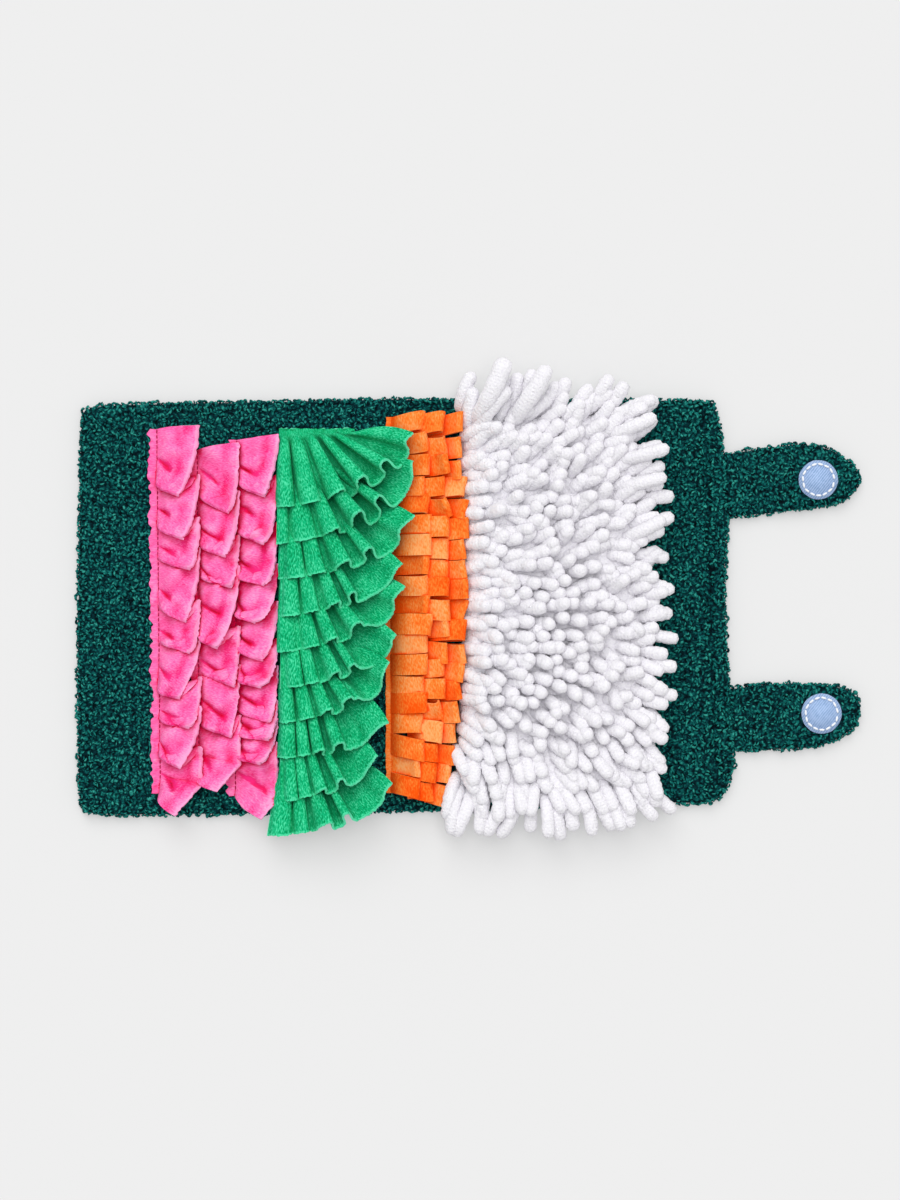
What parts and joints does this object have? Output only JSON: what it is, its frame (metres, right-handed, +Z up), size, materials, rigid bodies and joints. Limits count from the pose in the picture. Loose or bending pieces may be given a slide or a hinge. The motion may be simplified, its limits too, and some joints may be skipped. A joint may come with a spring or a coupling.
{
  "type": "snuffle mat",
  "caption": "Flat rectangular sherpa mat with ruffled fleece strips, fleece loop tabs, a chenille noodle pile and end straps with round loop-tape patches, for hiding treats.",
  "frame": {"origin": "on the surface the mat lies on, under the middle of its bounding box", "axes": "+X from the pink ruffles towards the two straps, +Y along the mat's width towards the first green ruffle, +Z up"},
  "size_m": [0.5454, 0.3372, 0.0438],
  "materials": {
    "sherpa_teal": "dark teal curled sherpa pile, matt",
    "fleece_pink": "brushed polyester fleece, bright pink, soft matt",
    "fleece_green": "brushed polyester fleece, green, soft matt",
    "fleece_orange": "brushed polyester fleece, orange, soft matt",
    "chenille_white": "white microfibre chenille noodles, fuzzy, matt",
    "loop_tape_blue": "light blue woven loop tape, white stitching, slight sheen"
  },
  "bodies": {
    "root": {"mat_body": "sherpa_teal", "strap_upper": "sherpa_teal", "strap_lower": "sherpa_teal", "patch_upper": "loop_tape_blue", "patch_lower": "loop_tape_blue", "pink_ruffle_1": "fleece_pink", "pink_ruffle_2": "fleece_pink", "pink_ruffle_3": "fleece_pink", "green_ruffle_01": "fleece_green", "green_ruffle_02": "fleece_green", "green_ruffle_03": "fleece_green", "green_ruffle_04": "fleece_green", "green_ruffle_05": "fleece_green", "green_ruffle_06": "fleece_green", "green_ruffle_07": "fleece_green", "green_ruffle_08": "fleece_green", "green_ruffle_09": "fleece_green", "green_ruffle_10": "fleece_green", "orange_loops_1": "fleece_orange", "orange_loops_2": "fleece_orange", "orange_loops_3": "fleece_orange", "chenille_pile": "chenille_white"}
  },
  "joints": []
}
